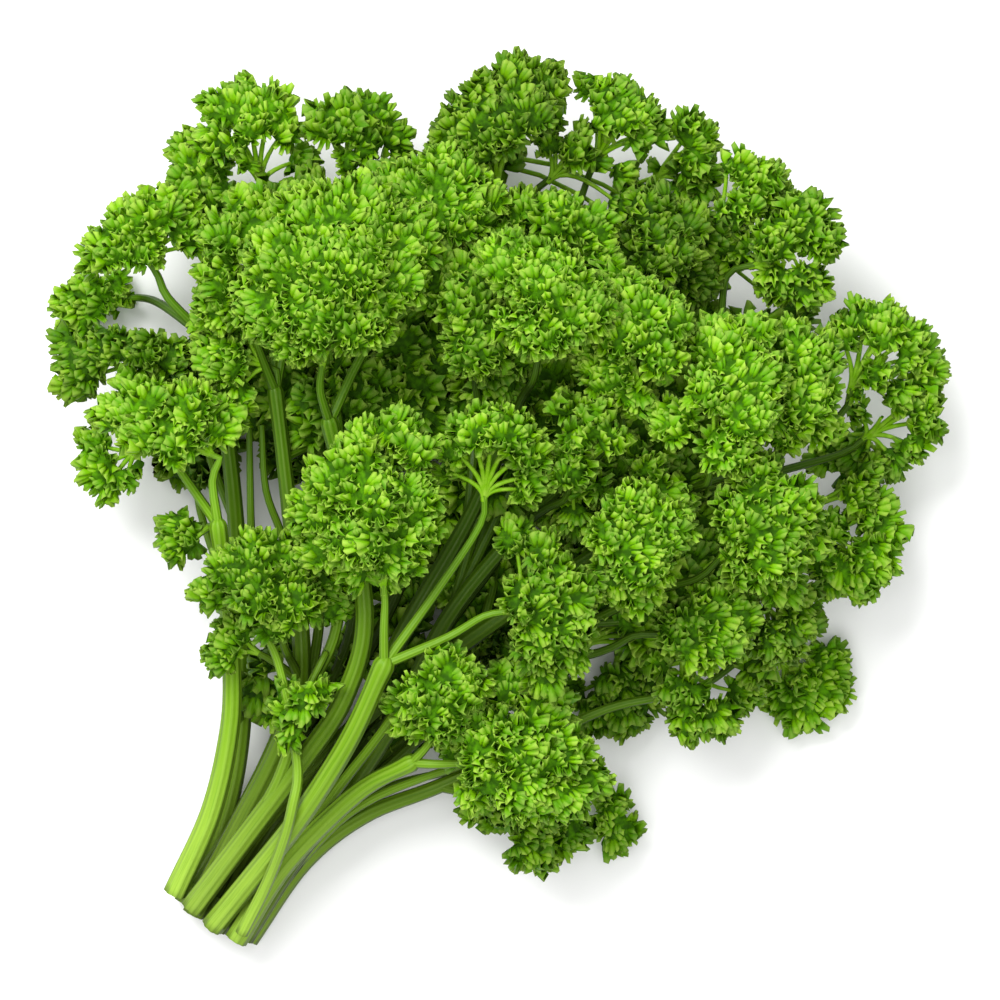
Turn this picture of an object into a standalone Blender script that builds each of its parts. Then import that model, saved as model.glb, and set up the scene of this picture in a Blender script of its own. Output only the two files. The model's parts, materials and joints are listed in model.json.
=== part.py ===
"""A bunch of cut curly parsley, lying on its side.

Eleven stalks lie in three layers at their cut ends and fan out into a dome of leaf heads. Each
stalk is one solid that forks into thin side stems. Each leaf head is one solid: the body of a
tightly curled leaf segment, growing from the end of its side stem.

The layout is in millimetres, measured from the cut ends: X runs along the bunch towards the leaf
tips, Y across it, and Z up from the surface that it lies on. The finished bunch has its origin
under its middle, on that surface, and is in metres.
"""

import math

import bmesh
import bpy
from mathutils import Matrix, Vector

# ---- Driving dimensions ---------------------------------------------------------------------------

MM = 0.001
BUNCH_NAME = "parsley_bunch"
LAYOUT_MIDDLE = (102.3, 2.8)   # the layout point that becomes the origin, in millimetres

HEAD_CORE = 0.93                # the solid body of a leaf head, as a share of its size over the curls
HEAD_LOBES = 5                  # shallow lobes round a leaf head
HEAD_LOBE_DEPTH = 0.05
HEAD_BACK = 0.72                # how full the underside of a leaf head is beside its upper side
HEAD_SIDES = 12
HEAD_RINGS = 7
STEM_CLEARANCE = 0.45           # between the end of a side stem and its leaf head, in millimetres

SIDE_STEM_START = 2.4           # diameter of a side stem where it leaves its stalk
SIDE_STEM_END = 1.7             # and where it meets its leaf head
FORK_SWELLING = 1.12            # a stalk is slightly thicker where it forks
ROUTE_STEP = 11.0               # longest straight piece along a stalk or a side stem
TUBE_RESOLUTION = 2             # gives eight sides

# ---- Layout: stalks -------------------------------------------------------------------------------

# Name: diameter at the cut, diameter at the fork, and the route from the cut to the fork.
STALKS = {
    "stalk_west": (5.4, 3.6, [(0, 11, 8.4), (20, 13, 15), (38, 18.5, 22), (50.5, 25, 28), (64, 34, 33),
                              (76, 43, 37)]),
    "stalk_northwest": (5.2, 3.2, [(-1, 8, 2.7), (20, 10, 5), (40, 17, 10), (59, 28, 16),
                                   (78, 40, 20), (97, 54, 23), (111, 68, 26)]),
    "stalk_north": (5.4, 3.2, [(-2, 5, 8.2), (20, 6, 12), (40, 7, 20), (55, 10, 26), (74, 22, 30),
                               (96, 38, 31), (108, 47, 32)]),
    "stalk_crown": (5.4, 3.6, [(-1, 6, 14), (20, 3.4, 20), (40, 1, 28), (57, 0, 34), (74, 4.5, 38),
                               (94, 20, 40), (108, 33, 45)]),
    "stalk_centre": (5.4, 4.4, [(-2, 0, 14), (13, -2.4, 22), (30, -4.8, 33), (50, -5.6, 43), (68, -4, 50)]),
    "stalk_ridge": (5.4, 3.2, [(-2, -1, 8.2), (20, -3, 14), (40, -5, 23), (60, -5, 31), (80, -4, 35),
                               (105, -4, 38), (124, -2, 42)]),
    "stalk_east": (5.4, 3.2, [(-1, -7, 8.2), (20, -8, 12), (40, -11, 19), (60, -12, 26),
                              (85, -11, 30), (110, -15, 35)]),
    "stalk_south": (5.4, 3.8, [(-2, -6, 14), (18, -7, 19), (40, -13, 29), (52, -20, 36)]),
    "stalk_far_east": (5.2, 3.4, [(-1, 2.3, 2.7), (20, 2, 5), (40, -2, 11), (60, -8, 17), (85, -19, 22),
                                  (110, -31, 27), (130, -41, 32)]),
    "stalk_southeast": (5.2, 3.2, [(-1, -3.3, 2.7), (20, -5, 4.5), (40, -11, 8), (60, -19, 14),
                                   (80, -29, 20), (98, -38, 26)]),
    "stalk_edge": (4.4, 3.0, [(-1, -8.5, 2.4), (20, -10.5, 4.3), (36, -17, 8), (50, -28, 12),
                              (68, -41, 14)]),
}

# ---- Layout: leaf heads ---------------------------------------------------------------------------

# Name: the stalk and the point on its route that the side stem leaves from, the points that the
# side stem passes, the base and the tip of the head, its width and its depth over the curls.
LEAF_HEADS = {
    "leaf_crown": ("stalk_crown", 6, [], (117, 40, 52), (151, 55, 68), 41, 28),
    "leaf_crown_right": ("stalk_crown", 6, [(128, 34, 43)], (150, 30, 44), (169, 38, 47), 30, 17),
    "leaf_crown_far": ("stalk_crown", 5, [(118, 38, 33), (138, 50, 30)], (154, 56, 30),
                       (174, 65, 34), 22, 12),
    "leaf_centre": ("stalk_centre", 4, [(75, 0, 54)], (82, 4, 56), (115, 27, 68), 31, 24),
    "leaf_centre_right": ("stalk_centre", 4, [(88, -6, 50)], (110, -5, 53), (132, 4, 62), 26, 20),
    "leaf_centre_low": ("stalk_centre", 4, [(80, -13, 51)], (91, -21, 51), (104, -36, 55), 33, 20),
    "leaf_ridge": ("stalk_ridge", 6, [(134, -1, 50)], (142, 0, 60), (170, 9, 73), 24, 21),
    "leaf_ridge_left": ("stalk_ridge", 6, [(127, 3, 46)], (131, 9, 50), (151, 24, 57), 17, 16),
    "leaf_ridge_far": ("stalk_ridge", 5, [(130, 8, 34), (150, 18, 34)], (169, 26, 38), (196, 41, 42),
                       33, 22),
    "leaf_east": ("stalk_east", 5, [(116, -18, 44)], (121, -20, 49), (142, -17, 61), 19, 18),
    "leaf_east_high": ("stalk_east", 5, [(126, -20, 42)], (142, -22, 52), (171, -15, 62), 22, 20),
    "leaf_east_dark": ("stalk_east", 4, [(120, -9, 28), (148, -12, 30)], (168, -13, 36),
                       (189, -5, 44), 22, 16),
    "leaf_east_far": ("stalk_east", 4, [(120, -3, 24), (155, 4, 22)], (186, 11, 26), (207, 14, 32),
                      22, 14),
    "leaf_east_tip": ("stalk_east", 4, [(125, -6, 21), (160, -4, 16)], (190, -2, 17), (209, -4, 22),
                      13, 11),
    "leaf_south": ("stalk_south", 3, [(56, -21, 39)], (60, -21, 41), (79, -13, 48), 23, 17),
    "leaf_south_big": ("stalk_south", 3, [(54, -24, 38)], (57, -29, 38), (75, -56, 42), 29, 22),
    "leaf_south_edge": ("stalk_edge", 3, [(52, -34, 14)], (54, -37, 16), (48, -57, 20), 21, 16),
    "leaf_south_tip": ("stalk_edge", 4, [(68, -50, 11)], (65, -58, 4), (61, -73, 3), 14, 14),
    "leaf_far_east": ("stalk_far_east", 6, [(136, -44, 42)], (140, -45, 49), (167, -36, 59), 24, 20),
    "leaf_far_east_right": ("stalk_far_east", 6, [(140, -47, 38)], (152, -56, 40), (180, -47, 47),
                            28, 17),
    "leaf_far_east_top": ("stalk_far_east", 5, [(140, -32, 26), (165, -24, 26)], (186, -19, 28),
                          (208, -20, 34), 18, 14),
    "leaf_far_east_side": ("stalk_far_east", 5, [(140, -36, 28), (166, -32, 30)], (184, -30, 34),
                           (200, -43, 40), 23, 14),
    "leaf_corner": ("stalk_far_east", 6, [(150, -55, 28)], (171, -63, 28), (192, -60, 32), 24, 14),
    "leaf_corner_low": ("stalk_far_east", 6, [(148, -58, 22)], (164, -71, 18), (183, -80, 20), 24,
                        16),
    "leaf_southeast": ("stalk_southeast", 5, [(101, -37, 38)], (106, -36, 50), (134, -41, 62), 24,
                       20),
    "leaf_southeast_right": ("stalk_southeast", 5, [(112, -48, 34)], (124, -56, 42), (147, -63, 52),
                             26, 20),
    "leaf_southeast_low": ("stalk_southeast", 5, [(116, -54, 26)], (123, -67, 28), (119, -86, 30),
                           18, 14),
    "leaf_southeast_far": ("stalk_southeast", 5, [(124, -55, 21)], (140, -69, 20), (142, -92, 20),
                           23, 16),
    "leaf_edge": ("stalk_southeast", 4, [(94, -44, 28)], (103, -52, 32), (117, -73, 36), 21, 16),
    "leaf_edge_low": ("stalk_southeast", 5, [(100, -43, 17)], (95, -48, 6), (80, -57, 3.6), 18, 16),
    "leaf_edge_right": ("stalk_southeast", 5, [(105, -50, 27)], (102, -60, 25), (89, -73, 24), 20, 14),
    "leaf_edge_far": ("stalk_edge", 4, [(84, -52, 16), (98, -67, 14)], (112, -80, 4),
                      (110, -97, 3.3), 19, 15),
    "leaf_north": ("stalk_north", 6, [(112, 52, 36)], (118, 58, 40), (142, 76, 44), 28, 18),
    "leaf_north_far": ("stalk_north", 6, [(128, 60, 28)], (145, 72, 26), (164, 88, 32), 22, 14),
    "leaf_north_side": ("stalk_northwest", 6, [(124, 70, 22)], (138, 74, 17), (143, 94, 20), 15, 13),
    "leaf_wood": ("stalk_north", 3, [(58, 14, 31)], (61, 18, 38), (77, 36, 48), 32, 20),
    "leaf_west": ("stalk_west", 5, [(84, 49, 39)], (89, 51, 40), (84, 79, 42), 25, 17),
    "leaf_west_low": ("stalk_west", 5, [(82, 56, 28)], (83, 67, 22), (68, 72, 18), 14, 12),
    "leaf_northwest": ("stalk_northwest", 5, [(102, 62, 28)], (106, 67, 30), (90, 91, 30), 15, 13),
    "leaf_northwest_top": ("stalk_northwest", 6, [(114, 78, 29)], (118, 84, 30), (127, 101, 34), 25,
                           13),
    "leaf_northwest_tip": ("stalk_northwest", 6, [(112, 79, 15)], (108, 88, 4.5), (99, 100, 3), 17,
                           14),
    "leaf_under_west": ("stalk_northwest", 3, [(67, 38, 9)], (81, 52, 5.5), (99, 65, 4.8), 22, 20),
    "leaf_under_north": ("stalk_northwest", 3, [(78, 28, 10)], (94, 30, 5.5), (120, 42, 4.8), 30, 24),
    "leaf_under_crown": ("stalk_north", 4, [(100, 20, 18), (122, 15, 12)], (136, 18, 5.5),
                         (163, 28, 4.8), 30, 24),
    "leaf_under_middle": ("stalk_far_east", 3, [(70, -2, 11)], (82, 3, 5.5), (108, 8, 4.8), 28, 24),
    "leaf_under_east": ("stalk_far_east", 4, [(104, -14, 16), (122, -12, 11)], (134, -12, 5.5),
                        (162, -16, 4.8), 28, 24),
    "leaf_under_south": ("stalk_southeast", 3, [(72, -18, 9)], (80, -20, 5), (104, -26, 4.5), 26,
                         22),
    "leaf_under_corner": ("stalk_southeast", 5, [(110, -40, 16)], (122, -43, 5), (148, -48, 4.5), 27,
                          22),
}

# Small leaflets that grow straight on a stalk, in the same terms.
LEAFLETS = {
    "leaflet_west": ("stalk_west", 5, [], (74, 45, 33), (63, 50, 31), 10, 5),
    "leaflet_low": ("stalk_crown", 2, [], (43, 5, 33), (54, 14, 37), 12, 4),
}

# ---- Scene and materials --------------------------------------------------------------------------


def clear_scene():
    for old in list(bpy.data.objects):
        bpy.data.objects.remove(old, do_unlink=True)


def new_collection(name):
    collection = bpy.data.collections.new(name)
    bpy.context.scene.collection.children.link(collection)
    return collection


def plant_material(name, colour, roughness):
    material = bpy.data.materials.new(name)
    material.use_nodes = True
    material.diffuse_color = (*colour, 1.0)
    shader = material.node_tree.nodes["Principled BSDF"]
    shader.inputs["Base Color"].default_value = (*colour, 1.0)
    shader.inputs["Roughness"].default_value = roughness
    shader.inputs["Metallic"].default_value = 0.0
    return material


# ---- Shapes ---------------------------------------------------------------------------------------


def placed(point):
    """A layout point, in metres from the bunch's own origin."""
    x, y, z = point
    return Vector((x - LAYOUT_MIDDLE[0], y - LAYOUT_MIDDLE[1], z)) * MM


def smooth_route(points):
    """Points along a smooth curve through the given ones, at most ROUTE_STEP apart."""
    ends = [points[0] * 2 - points[1], *points, points[-1] * 2 - points[-2]]
    route = []
    for before, start, end, after in zip(ends, ends[1:], ends[2:], ends[3:]):
        pieces = math.ceil((end - start).length / (ROUTE_STEP * MM))
        for piece in range(pieces):
            t = piece / pieces
            slope = (end - before) * t
            bend = (before * 2 - start * 5 + end * 4 - after) * t ** 2
            twist = (start * 3 - before - end * 3 + after) * t ** 3
            route.append((start * 2 + slope + bend + twist) / 2)
    route.append(points[-1])
    return route


def tube(name, route, diameters):
    """A closed tube along a route of points, with a diameter in millimetres at each."""
    curve = bpy.data.curves.new(name, "CURVE")
    curve.dimensions = "3D"
    curve.bevel_depth = MM
    curve.bevel_resolution = TUBE_RESOLUTION
    curve.use_fill_caps = True
    spline = curve.splines.new("POLY")
    spline.points.add(len(route) - 1)
    for point, place, diameter in zip(spline.points, route, diameters):
        point.co = (*place, 1.0)
        point.radius = diameter / 2
    drawn = bpy.data.objects.new(name + "_curve", curve)
    bpy.context.scene.collection.objects.link(drawn)
    graph = bpy.context.evaluated_depsgraph_get()
    mesh = bpy.data.meshes.new_from_object(drawn.evaluated_get(graph))
    mesh.name = name
    body = bmesh.new()
    body.from_mesh(mesh)
    bmesh.ops.remove_doubles(body, verts=body.verts, dist=0.00001)
    bmesh.ops.recalc_face_normals(body, faces=body.faces)
    body.to_mesh(mesh)
    body.free()
    result = bpy.data.objects.new(name, mesh)
    result.matrix_world = drawn.matrix_world
    bpy.data.objects.remove(drawn, do_unlink=True)
    return result


def rounded_body(name, base, tip, width, depth):
    """A closed, slightly lobed oval body from its base to its tip, cut flat where it would pass
    below the surface. The object's own Z axis runs from the base to the tip."""
    along = tip - base
    length = along.length
    along.normalize()
    across = Vector((0, 0, 1)).cross(along).normalized()
    upward = along.cross(across)
    place = Matrix((across, upward, along)).transposed().to_4x4()
    place.translation = base

    body = bmesh.new()
    bmesh.ops.create_uvsphere(body, u_segments=HEAD_SIDES, v_segments=HEAD_RINGS, radius=1.0)
    lift = place.inverted()
    for point in body.verts:
        x, y, z = point.co
        lobe = 1 + HEAD_LOBE_DEPTH * math.cos(HEAD_LOBES * math.atan2(y, x)) * (1 - z * z)
        fullness = 1.0 if y > 0 else HEAD_BACK
        point.co = (x * lobe * width / 2, y * lobe * fullness * depth / 2, (z + 1) * length / 2)
        spot = place @ point.co
        if spot.z < 0:
            point.co = lift @ Vector((spot.x, spot.y, 0))
    mesh = bpy.data.meshes.new(name)
    body.to_mesh(mesh)
    body.free()
    result = bpy.data.objects.new(name, mesh)
    result.matrix_world = place
    return result


# ---- Pieces ---------------------------------------------------------------------------------------


def head_axis(base, tip):
    return (placed(tip) - placed(base)).normalized()


def side_stem(name, points, base, tip, overlap):
    """The thin stem from its stalk to a leaf's base. It ends overlap past the base, or short of it
    where overlap is negative, and runs its last stretch in line with the leaf."""
    axis = head_axis(base, tip)
    end = placed(base) + axis * overlap * MM
    reach = (end - points[-1]).length
    approach = end - axis * min(6 * MM, reach * 0.4)
    route = smooth_route([*points, approach, end])
    shares = [index / (len(route) - 1) for index in range(len(route))]
    diameters = [SIDE_STEM_START + (SIDE_STEM_END - SIDE_STEM_START) * share for share in shares]
    return tube(name, route, diameters)


def stalk(name, cutters):
    """One stalk: the thick stem from the cut to its fork, joined with its side stems and with the
    small leaflets that grow straight on it."""
    cut_diameter, fork_diameter, points = STALKS[name]
    route = smooth_route([placed(point) for point in points])
    last = len(route) - 1
    diameters = [cut_diameter + (fork_diameter - cut_diameter) * index / last
                 for index in range(last + 1)]
    diameters[-1] *= FORK_SWELLING
    direction = (route[-1] - route[-2]).normalized()
    route.append(route[-1] + direction * fork_diameter * 0.4 * MM)
    diameters.append(fork_diameter * 0.55)
    body = tube(name, route, diameters)

    joined = []
    for leaf, (owner, start, passes, base, tip, width, depth) in {**LEAF_HEADS, **LEAFLETS}.items():
        if owner != name:
            continue
        through = [placed(point) for point in (points[start], *passes)]
        overlap = 1.0 if leaf in LEAFLETS else -STEM_CLEARANCE
        joined.append(side_stem(leaf + "_stem", through, base, tip, overlap))
        if leaf in LEAFLETS:
            joined.append(rounded_body(leaf + "_blade", placed(base), placed(tip), width * MM,
                                       depth * MM))
    for piece in joined:
        cutters.objects.link(piece)
        piece.hide_render = True
        piece.display_type = "WIRE"
        union = body.modifiers.new("joined_" + piece.name, "BOOLEAN")
        union.operation = "UNION"
        union.solver = "EXACT"
        union.object = piece
    return body


def leaf_head(name):
    *_, base, tip, width, depth = LEAF_HEADS[name]
    foot = placed(base)
    crown = foot + (placed(tip) - foot) * HEAD_CORE
    return rounded_body(name, foot, crown, width * HEAD_CORE * MM, depth * HEAD_CORE * MM)


def main():
    clear_scene()
    parts = new_collection(BUNCH_NAME)
    cutters = new_collection("cutters")
    stalk_green = plant_material("stalk", (0.36, 0.62, 0.08), 0.42)
    leaf_green = plant_material("leaf", (0.09, 0.26, 0.01), 0.55)
    for name in STALKS:
        body = stalk(name, cutters)
        body.data.materials.append(stalk_green)
        body.data.shade_smooth()
        parts.objects.link(body)
    for name in LEAF_HEADS:
        body = leaf_head(name)
        body.data.materials.append(leaf_green)
        body.data.shade_smooth()
        parts.objects.link(body)


main()
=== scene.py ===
"""A bunch of cut curly parsley, lying on its side: the looks of its stalks and curled leaf heads.

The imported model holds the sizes. Each stalk is remade here as ribbed, forking stems along the same
routes, and each leaf head as a body of frilled blades growing out from the end of its side stem.
"""

import json
import math
import random
from typing import NamedTuple

import bmesh
import bpy
from mathutils import Matrix, Vector, noise

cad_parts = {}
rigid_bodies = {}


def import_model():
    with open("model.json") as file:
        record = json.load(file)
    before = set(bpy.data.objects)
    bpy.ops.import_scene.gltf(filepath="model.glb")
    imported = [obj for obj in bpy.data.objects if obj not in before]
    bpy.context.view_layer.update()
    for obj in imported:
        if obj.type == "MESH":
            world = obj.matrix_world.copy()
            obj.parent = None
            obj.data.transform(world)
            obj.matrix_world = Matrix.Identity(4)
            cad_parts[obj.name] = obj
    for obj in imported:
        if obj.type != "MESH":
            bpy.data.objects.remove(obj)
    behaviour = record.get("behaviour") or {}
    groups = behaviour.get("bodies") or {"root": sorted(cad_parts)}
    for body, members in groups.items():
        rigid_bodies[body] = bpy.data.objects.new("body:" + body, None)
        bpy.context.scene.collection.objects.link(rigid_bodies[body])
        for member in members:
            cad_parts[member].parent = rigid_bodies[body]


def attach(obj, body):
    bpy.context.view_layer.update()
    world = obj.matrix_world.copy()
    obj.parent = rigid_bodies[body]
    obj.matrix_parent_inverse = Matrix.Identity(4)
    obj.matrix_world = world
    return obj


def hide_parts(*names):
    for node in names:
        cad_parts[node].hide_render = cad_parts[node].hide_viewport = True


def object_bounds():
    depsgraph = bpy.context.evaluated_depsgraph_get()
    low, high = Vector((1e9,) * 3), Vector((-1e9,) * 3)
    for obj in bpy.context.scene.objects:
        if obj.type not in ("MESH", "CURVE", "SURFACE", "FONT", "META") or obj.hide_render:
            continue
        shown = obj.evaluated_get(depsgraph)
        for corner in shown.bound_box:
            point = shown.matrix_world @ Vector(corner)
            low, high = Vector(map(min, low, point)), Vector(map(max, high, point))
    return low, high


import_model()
cad_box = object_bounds()

# ---- Layout: stems --------------------------------------------------------------------------------
# The same layout as the model's, in millimetres: X from the cut ends towards the leaf tips, Y across,
# Z up from the surface. LAYOUT_MIDDLE is the layout point over the origin.

MM = 0.001
LAYOUT_MIDDLE = (102.3, 2.8)

# Name: how light it is, partly its own colour and partly painted shade for the stalks that lie in the
# bunch's shade, its diameters at the cut and at its fork, and its route between the two.
STALKS = {
    "stalk_west": (0.95, 5.4, 3.6, [(0, 11, 8.4), (20, 13, 15), (38, 18.5, 22), (50.5, 25, 28),
        (64, 34, 33), (76, 43, 37)]),
    "stalk_northwest": (0.62, 5.2, 3.2, [(-1, 8, 2.7), (20, 10, 5), (40, 17, 10), (59, 28, 16),
        (78, 40, 20), (97, 54, 23), (111, 68, 26)]),
    "stalk_north": (0.46, 5.4, 3.2, [(-2, 5, 8.2), (20, 6, 12), (40, 7, 20), (55, 10, 26),
        (74, 22, 30), (96, 38, 31), (108, 47, 32)]),
    "stalk_crown": (0.66, 5.4, 3.6, [(-1, 6, 14), (20, 3.4, 20), (40, 1, 28), (57, 0, 34),
        (74, 4.5, 38), (94, 20, 40), (108, 33, 45)]),
    "stalk_centre": (0.8, 5.4, 4.4, [(-2, 0, 14), (13, -2.4, 22), (30, -4.8, 33), (50, -5.6, 43),
        (68, -4, 50)]),
    "stalk_ridge": (0.28, 5.4, 3.2, [(-2, -1, 8.2), (20, -3, 14), (40, -5, 23), (60, -5, 31),
        (80, -4, 35), (105, -4, 38), (124, -2, 42)]),
    "stalk_east": (0.36, 5.4, 3.2, [(-1, -7, 8.2), (20, -8, 12), (40, -11, 19), (60, -12, 26),
        (85, -11, 30), (110, -15, 35)]),
    "stalk_south": (0.8, 5.4, 3.8, [(-2, -6, 14), (18, -7, 19), (40, -13, 29), (52, -20, 36)]),
    "stalk_far_east": (0.4, 5.2, 3.4, [(-1, 2.3, 2.7), (20, 2, 5), (40, -2, 11), (60, -8, 17),
        (85, -19, 22), (110, -31, 27), (130, -41, 32)]),
    "stalk_southeast": (0.34, 5.2, 3.2, [(-1, -3.3, 2.7), (20, -5, 4.5), (40, -11, 8), (60, -19, 14),
        (80, -29, 20), (98, -38, 26)]),
    "stalk_edge": (0.58, 4.4, 3.0, [(-1, -8.5, 2.4), (20, -10.5, 4.3), (36, -17, 8), (50, -28, 12),
        (68, -41, 14)]),
}

# Thin stems between the stalks, in the same terms, the inner ones darkened with painted shade. They end
# without a fork.
THIN_STEMS = {
    "thin_west": (0.45, 3.0, 2.0, [(4, 8, 5), (22, 7.5, 7), (42, 9, 12), (60, 13, 18), (76, 26, 20)]),
    "thin_north": (0.5, 3.0, 2.0, [(12, 6, 11), (34, 6.5, 14), (54, 8, 18), (76, 17, 22),
        (92, 30, 24)]),
    "thin_inner": (0.2, 3.4, 2.4, [(4, 3, 5), (24, 4, 8), (46, 4, 14), (70, 6, 20), (96, 18, 22)]),
    "thin_inner_dark": (0.16, 3.4, 2.4, [(6, -1, 5), (28, -1, 7), (52, 0, 14), (78, 1, 20),
        (104, 4, 24)]),
    "thin_middle": (0.18, 3.4, 2.4, [(6, -5, 5), (28, -7, 7), (50, -9, 14), (74, -11, 18),
        (100, -14, 24)]),
    "thin_east": (0.24, 3.2, 2.2, [(10, -8, 5), (30, -11, 8), (48, -16, 14), (66, -22, 20),
        (86, -30, 24)]),
    "thin_east_bright": (0.6, 3.0, 1.8, [(12, -5, 16), (26, -7.5, 18), (40, -9, 24), (54, -11, 30),
        (74, -13, 34)]),
    "thin_edge": (0.7, 2.6, 1.6, [(20, -9.5, 9), (32, -12.5, 12), (41, -17, 16), (50, -24, 20),
        (58, -31, 24)]),
    "thin_edge_low": (0.5, 2.4, 1.6, [(22, -9, 7), (36, -13, 9), (46, -20, 12), (54, -28, 14),
        (64, -36, 16)]),
    "thin_cross": (0.85, 3.0, 1.8, [(0, -6.4, 19), (12, -5.8, 24), (23, -4.2, 32.5), (31, -2.0, 37.5),
        (38, 0.8, 37), (49, 9.5, 38), (57, 17, 39), (62, 24, 42)]),
    "thin_wood": (0.7, 3.2, 2.4, [(24, 3.2, 21), (34, 3.4, 26.4), (46, 5.6, 31), (56, 7.5, 32.5),
        (67, 8.5, 34), (80, 13, 34)]),
    "thin_fan_left": (0.5, 2.2, 1.4, [(64, 27, 22), (78, 36, 26), (98, 48, 28)]),
    "thin_fan_right": (0.5, 2.2, 1.4, [(68, 20, 22), (80, 29, 24), (88, 38, 26), (100, 46, 28)]),
}

# ---- Layout: leaf heads ---------------------------------------------------------------------------


class Head(NamedTuple):
    """A leaf head on its side stem. The head is a cluster of round lobes, each given by its X and Y
    and its radius over the curls, and a lobe's height follows from the head's base, tip and depth."""

    stalk: str
    start: int              # the point on the stalk's route that the side stem leaves from
    passes: list            # the points that the side stem passes
    base: tuple
    tip: tuple
    width: float            # this and the depth are over the curls
    depth: float
    lobes: tuple = ()       # a head without any is one lobe
    tone: float = None      # how light its colour is, from 0 to 1: near the middle if not given; the dark tones of heads beneath the bunch and deep inside it are painted shade


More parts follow.
